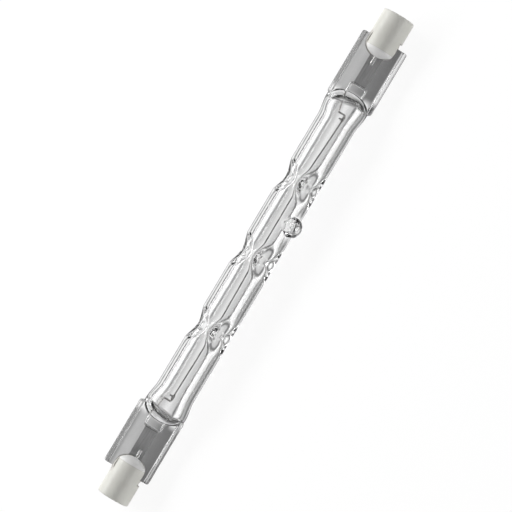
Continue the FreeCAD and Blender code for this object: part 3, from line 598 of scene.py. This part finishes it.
# Turned contact: rings from the lathe around the lamp's axis, and duller patches where it has been pressed
RING_PITCH = 0.16
contact_metal, tree, shader = new_material("turned_contact", Metallic=1.0)
place = place_in_frame(tree)
from_axis = distance(
    tree, maths(tree, "SUBTRACT", place["Y"], LIES_AT * MM), maths(tree, "SUBTRACT", place["Z"], TUBE_RADIUS * MM)
)
lathe_rings = maths(tree, "SINE", maths(tree, "MULTIPLY", from_axis, 2 * math.pi / (RING_PITCH * MM)))
set_surface(
    tree, shader, colour=blend_colours(tree, mottle(tree, 0.9), (0.5, 0.485, 0.46, 1), (0.66, 0.645, 0.62, 1)),
    roughness=mottle(tree, 0.6, low=0.24, high=0.44), relief=maths(tree, "ADD", lathe_rings, mottle(tree, 0.1)),
    depth=0.004,
)

# Dried cement: sandy grain with open pores, sunk in the relief and darkened inside with painted shade
cement, tree, shader = new_material("dried_cement")
shaded_pores = specks(tree, spacing=0.55, share=0.22)
cement_sand = blend_colours(tree, mottle(tree, 0.5), (0.74, 0.72, 0.67, 1), (0.84, 0.82, 0.78, 1))
set_surface(
    tree, shader, colour=blend_colours(tree, shaded_pores, cement_sand, (0.46, 0.44, 0.4, 1)),
    roughness=mottle(tree, 0.3, low=0.75, high=0.95), relief=maths(tree, "SUBTRACT", mottle(tree, 0.14), shaded_pores),
    depth=0.03,
)


def rounded_lead(side):
    """The middle line of a sealed-in lead: looped across the foil's end, then out to its hook in the coil."""
    shift, axis = BLADE_SHIFT[side], COIL_SAG[0 if side < 0 else -1][1]
    loop_end, hook_in = LOOP_PLACE - LOOP_DEPTH, HOOK_PLACE - HOOK_LENGTH
    corners = (
        (loop_end, shift - LOOP_HALF), (LOOP_PLACE, shift - LOOP_HALF), (LOOP_PLACE, shift + LOOP_HALF),
        (loop_end, shift + LOOP_HALF), (HOOK_PLACE, axis + LEAD_REACH), (HOOK_PLACE, axis), (hook_in, axis),
        (hook_in, axis + HOOK_HEIGHT),
    )
    bends = (LOOP_BEND, LOOP_BEND, LEAVE_BEND, HOOK_BEND, HOOK_BEND, HOOK_BEND)
    return rounded_path([(side * x, y, WIRE_HEIGHT) for x, y in corners], bends, spacing=0.09)


def cutting_box(side, far_end, half_height):
    """A plain box across the lamp's axis, which cuts a cap or its cement from their inner end to the far end."""
    near_end, half_width = CAP_INNER_END - 1, 5
    corners = [(y * half_width, z * half_height) for y, z in ((-1, -1), (1, -1), (1, 1), (-1, 1))]
    box = Build()
    box.points = [np.array([(side * x, y, z) for x in (near_end, far_end) for y, z in corners])]
    faces = [(0, 3, 2, 1), (4, 5, 6, 7), (0, 1, 5, 4), (1, 2, 6, 5), (2, 3, 7, 6), (3, 0, 4, 7)]
    box.faces = [face[::side] for face in faces]
    return box.piece("cutting_box", ceramic)


def cut_with(piece, name, operation, form):
    cut = piece.modifiers.new(name, "BOOLEAN")
    cut.operation, cut.solver, cut.object = operation, "EXACT", form


def finish_cut(piece, forms):
    """Makes the piece's modifiers part of its mesh, and removes the forms that cut it."""
    bpy.context.view_layer.update()
    finished = bpy.data.meshes.new_from_object(piece.evaluated_get(bpy.context.evaluated_depsgraph_get()))
    piece.modifiers.clear()
    piece.data = finished
    finished.name = piece.name
    finished.set_sharp_from_angle(angle=SHARP_ANGLE)
    for form in forms:
        bpy.data.objects.remove(form)


def dress(piece, node):
    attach(piece, "root")
    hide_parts(node)


# The quartz: its outside, the gas space inside it and the thin gaps around the sealed-in wires. Rays from the axis
# reach all of the gas space, so there they fan out as in the lamp's middle. Its ends lean a little to one side.
crimp_stretches = [(place - 3.8, place + 3.8, 0.15) for place in CRIMP_PLACES]
outer_places = stations(
    [(-32, 32, 0.9), *crimp_stretches, (6.4, 12, 0.15)],
    [(32, 36.8, 0.4), (36.8, 40.6, 0.12), (40.6, 52.2, 0.6), (52.2, BLADE_END, 0.06)],
)
gas_places = stations(
    [(-32, 32, 0.9), *crimp_stretches, (7.2, 11.2, 0.12)],
    [(32, 36, 0.35), (36, 37.9, 0.12), (37.9, GAS_NOSE_BASE + GAS_NOSE_LENGTH, 0.05)],
)
envelope = Build()
envelope.rings(skin(quartz_outside, outer_places, around(outer_places, count=164), largest=8.0))
gas = skin(gas_outside, gas_places, around(0 * gas_places, count=84), largest=6.0)
past_flare = eased((np.abs(gas[..., 0]) - FLARE_START) / GAS_LEAN_RUN)
gas[..., 0] -= np.sign(gas[..., 0]) * GAS_LEAN * (gas[..., 1] - GAS_LEAN_LINE) * past_flare
envelope.rings(gas, inward=True)
for side in (-1, 1):
    lead_gap = [point for point in rounded_lead(side) if abs(point[0]) > LEAD_GAP_START]
    envelope.rings(wire_along(lead_gap, LEAD_RADIUS + SEAL_GAP, sides=14), inward=True)
    rod_gap = [(side * x, 0, 0) for x in np.linspace(OUTER_LEAD_START - SEAL_GAP, ROD_GAP_END, 12)]
    envelope.rings(wire_along(rod_gap, OUTER_LEAD_RADIUS + SEAL_GAP, sides=20), inward=True)
dress(envelope.piece("quartz_glass", quartz), "quartz_envelope")

# The filament: one wire wound in a fine coil, thicker where its ends are wound over the leads
COIL_STEPS = 10
along = np.arange(-COIL_END, COIL_END, COIL_PITCH / COIL_STEPS)
sagging_line = np.interp(along, *np.array(COIL_SAG).T)
over_lead = eased((COIL_END_LENGTH - (COIL_END - np.abs(along))) / COIL_END_STEP)
winding_radius = COIL_RADIUS + (COIL_END_RADIUS - COIL_RADIUS) * over_lead - COIL_WIRE
winding = along / COIL_PITCH * 2 * math.pi
coil_path = np.stack((
    along, sagging_line + winding_radius * np.cos(winding), WIRE_HEIGHT + winding_radius * np.sin(winding),
), -1)
coil_build = Build()
coil_build.rings(wire_along(coil_path, COIL_WIRE, sides=5))
dress(coil_build.piece("coiled_filament", tungsten), "filament")

# The outline of a cap: its dome, its sleeve, the recess, the contact's seat and the bore for the shank
cap_outline = rounded_outline([
    *(
        (CAP_INNER_END + DOME_LENGTH * (1 - share), CAP_RADIUS - DOME_DROP * share**DOME_CURVE, 0)
        for share in np.linspace(1, 0, DOME_STEPS)
    ),
    (CAP_OUTER_END, CAP_RADIUS, CAP_OUTER_ROUND), (CAP_OUTER_END, RECESS_RADIUS, RECESS_CHAMFER),
    (CONTACT_FACE, RECESS_RADIUS, BORE_ROUND), (CONTACT_FACE, CONTACT_RADIUS, 0),
    (CONTACT_SEAT, CONTACT_RADIUS, 0), (CONTACT_SEAT, SHANK_RADIUS, 0), (CAP_INNER_END, SHANK_RADIUS, BORE_ROUND),
])

# The sealed-in leads, the ceramic caps turned and then slotted for the blades, and the cement that fills the slots
for side, end in ((-1, "left"), (1, "right")):
    lead_build = Build()
    lead_build.rings(wire_along(rounded_lead(side), LEAD_RADIUS, sides=20))
    dress(lead_build.piece(f"looped_lead_{end}", wire), f"inner_lead_{end}")

    cap_build = Build()
    cap_build.turned(side, cap_outline, sides=128)
    cap = cap_build.piece(f"slotted_cap_{end}", ceramic)
    slot_form = cutting_box(side, SLOT_FLOOR, SLOT_HALF)
    cut_with(cap, "slot", "DIFFERENCE", slot_form)
    softened = cap.modifiers.new("slot_edges", "BEVEL")
    softened.width, softened.segments, softened.angle_limit = SLOT_EDGE_ROUND * MM, 2, SLOT_EDGE_ANGLE
    finish_cut(cap, [slot_form])
    dress(cap, f"ceramic_cap_{end}")

    cement_build = Build()
    cement_build.turned(side, CEMENT_OUTLINE, sides=120, lumps=CEMENT_LUMPS, raised=CEMENT_RAISED)
    fill = cement_build.piece(f"cement_bead_{end}", cement)
    slot_form = cutting_box(side, SLOT_FLOOR + 1, SLOT_HALF - CEMENT_CLEAR)
    blade_form = cutting_box(side, BLADE_END, WEB_HALF)
    cut_with(fill, "slot", "INTERSECT", slot_form)
    cut_with(fill, "blade", "DIFFERENCE", blade_form)
    finish_cut(fill, [slot_form, blade_form])
    dress(fill, f"cement_{end}")

# The pieces that keep the source's own shape
for stem, material in (("outer_lead", rod_metal), ("foil", foil), ("contact", contact_metal)):
    for end in ("left", "right"):
        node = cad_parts[f"{stem}_{end}"]
        node.data.materials.clear()
        node.data.materials.append(material)

# Floor: white where the camera sees it. Where the glass shows it, the floor carries a painted shadow of the lamp.
# This includes painted lines of light and shade like those its round walls throw, and a painted pool of light under
# the pip. It falls off away from the lamp. Places are in millimetres, bands are (middle, half width, depth) across
# the lamp, and spans are where one tone fades into the next.
FLOOR_HALF, FLOOR_DROP = 3000, 0.02
PAPER_WHITE, PAPER_UNSEEN, PAPER_SEEN = 0.93, grey(0.8), grey(0.1)
SWEEP_SPAN, SWEEP_EDGE = (30, 110), 0.08
PAINTED_SHADOW_BANDS = (
    (-3.6, 3.2, 0.4), (-2.6, 1.7, 0.93), (1.9, 1.9, 0.3), (0.85, 0.8, 0.92), (5.3, 2.4, 0.38), (6.5, 1.0, 0.72),
    (12.4, 3.2, 0.85), (16.2, 2.4, 0.75), (-5.5, 2.6, 0.5),
)
PIP_LIGHT_Y, PIP_LIGHT_SPAN, PIP_LIGHT_SHARE = -4.5, (2.0, 4.5), 0.9
WEB_SPAN, BLADE_SHADOW, BLADE_LIGHT = (1, 7), 0.16, 0.54
RAIL_SPAN, RAIL_SHADOW = (8.0, 8.8), 0.6
PAST_UPPER_RAIL, PAST_LOWER_RAIL = (9.5, 13), (-1.5, -1.95)
BLADE_SPAN, PAST_CAPS = (39, 41), (62, 72)
floor_mesh = bpy.data.meshes.new("floor")
floor_mesh.from_pydata(
    [(x * FLOOR_HALF * MM, y * FLOOR_HALF * MM, 0) for x, y in ((-1, -1), (1, -1), (1, 1), (-1, 1))], [],
    [(0, 1, 2, 3)],
)
floor = bpy.data.objects.new("floor", floor_mesh)
floor.location.z = -FLOOR_DROP * MM
bpy.context.scene.collection.objects.link(floor)
paper, tree, shader = new_material("floor_paper", Roughness=0.9, Specular_IOR_Level=0.0, Emission_Color=grey(1.0))
rays = add(tree, "ShaderNodeLightPath").outputs
ground = add(tree, "ShaderNodeSeparateXYZ", {0: add(tree, "ShaderNodeNewGeometry").outputs["Position"]}).outputs
sweep = fade_over(tree, maths(tree, "ABSOLUTE", ground["Y"]), SWEEP_SPAN, 1.0, SWEEP_EDGE)
# Painted shadow under the tube: bands of painted shade across the lamp
painted_tube_shadow = 1.0
for middle, half_width, depth in PAINTED_SHADOW_BANDS:
    away = away_from(tree, ground["Y"], middle * MM)
    painted_tube_shadow = maths(tree, "MULTIPLY", painted_tube_shadow, fade_over(tree, away, (0, half_width), 1 - depth, 1.0))
# A painted pool of light under the pip lifts that painted shadow
from_pip = distance(
    tree, maths(tree, "SUBTRACT", ground["X"], PIP_PLACE * MM), maths(tree, "SUBTRACT", ground["Y"], PIP_LIGHT_Y * MM)
)
painted_pip_light = fade_over(tree, from_pip, PIP_LIGHT_SPAN, PIP_LIGHT_SHARE, 0.0)
painted_tube_shadow = blend_values(tree, painted_pip_light, painted_tube_shadow, 1.0)
# Painted shadow under the blades: darkest on the -Y side of the web, a painted dark line under the rail, gone past
# the rails
under_web = fade_over(tree, ground["Y"], WEB_SPAN, BLADE_SHADOW, BLADE_LIGHT)
under_rail = fade_over(tree, ground["Y"], RAIL_SPAN, 1.0, RAIL_SHADOW)
beyond_blade = maths(
    tree, "MAXIMUM", fade_over(tree, ground["Y"], PAST_UPPER_RAIL), fade_over(tree, ground["Y"], PAST_LOWER_RAIL)
)
painted_blade_shadow = blend_values(tree, beyond_blade, product(tree, under_web, under_rail), 1.0)
along_lamp = maths(tree, "ABSOLUTE", ground["X"])
shadow = blend_values(tree, fade_over(tree, along_lamp, BLADE_SPAN), painted_tube_shadow, painted_blade_shadow)
shadow = blend_values(tree, fade_over(tree, along_lamp, PAST_CAPS), shadow, 1.0)
in_glass = maths(tree, "MAXIMUM", rays["Is Glossy Ray"], rays["Is Transmission Ray"])
seen = maths(tree, "MAXIMUM", rays["Is Camera Ray"], product(tree, in_glass, sweep, shadow))
tree.links.new(maths(tree, "MULTIPLY", seen, PAPER_WHITE), shader.inputs["Emission Strength"])
watched = maths(tree, "MAXIMUM", rays["Is Camera Ray"], in_glass)
tree.links.new(blend_colours(tree, watched, PAPER_UNSEEN, PAPER_SEEN), shader.inputs["Base Color"])
floor_mesh.materials.append(paper)

# The room's own light is faint, and brighter where metal and glass show it
ROOM_LIGHT, ROOM_IN_GLASS = (0.08, 0.08, 0.082, 1), (0.34, 0.34, 0.345, 1)
world = bpy.data.worlds.new("studio_air")
bpy.context.scene.world = world
world.use_nodes = True
tree = world.node_tree
rays = add(tree, "ShaderNodeLightPath").outputs
in_glass = maths(tree, "MAXIMUM", rays["Is Glossy Ray"], rays["Is Transmission Ray"])
tree.links.new(
    blend_colours(tree, in_glass, ROOM_LIGHT, ROOM_IN_GLASS), tree.nodes["Background"].inputs["Color"]
)


def soft_box(name, azimuth, elevation, distance, width, height, watts):
    """A rectangular studio light that looks at the middle of the lamp, placed by degrees and metres."""
    data = bpy.data.lights.new(name, "AREA")
    data.shape, data.size, data.size_y, data.energy = "RECTANGLE", width, height, watts
    light = bpy.data.objects.new(name, data)
    a, e = math.radians(azimuth), math.radians(elevation)
    out = Vector((math.sin(a) * math.cos(e), -math.cos(a) * math.cos(e), math.sin(e)))
    light.location = out * distance
    light.rotation_mode = "QUATERNION"
    light.rotation_quaternion = out.to_track_quat("Z", "Y")
    bpy.context.scene.collection.objects.link(light)


soft_box("key_box", azimuth=180, elevation=41, distance=0.6, width=1.0, height=0.2, watts=5.0)
soft_box("low_fill_box", azimuth=0, elevation=0, distance=0.7, width=1.2, height=0.26, watts=5.0)

# The camera looks straight at the flat of the blades, with the lamp slanting up to the right. The photograph is this
# many metres wide at the lamp, and the lamp lies this many of its pixels off its centre.
PHOTO_SLANT, PHOTO_WIDTH, PHOTO_PIXELS = math.radians(59.2), 0.1074, 512
LAMP_RIGHT, LAMP_UP = -0.05, -1.4
LENS, SENSOR = 200, 36
camera_data = bpy.data.cameras.new("camera")
camera_data.lens, camera_data.sensor_width = LENS, SENSOR
camera = bpy.data.objects.new("camera", camera_data)
bpy.context.scene.collection.objects.link(camera)
bpy.context.scene.camera = camera
toward = Vector((0, -math.sin(ROLL), math.cos(ROLL)))
blade_up = Vector((0, math.cos(ROLL), math.sin(ROLL)))
lamp_axis = Vector((1, 0, 0))
right = lamp_axis * math.cos(PHOTO_SLANT) - blade_up * math.sin(PHOTO_SLANT)
up = lamp_axis * math.sin(PHOTO_SLANT) + blade_up * math.cos(PHOTO_SLANT)
aim = Vector(in_frame((0, 0, 0))) - (right * LAMP_RIGHT + up * LAMP_UP) * PHOTO_WIDTH / PHOTO_PIXELS
camera.location = aim + toward * (PHOTO_WIDTH * LENS / SENSOR)
camera.rotation_mode = "QUATERNION"
camera.rotation_quaternion = Matrix((right, up, toward)).transposed().to_quaternion()

bpy.context.scene.view_settings.view_transform = "Standard"
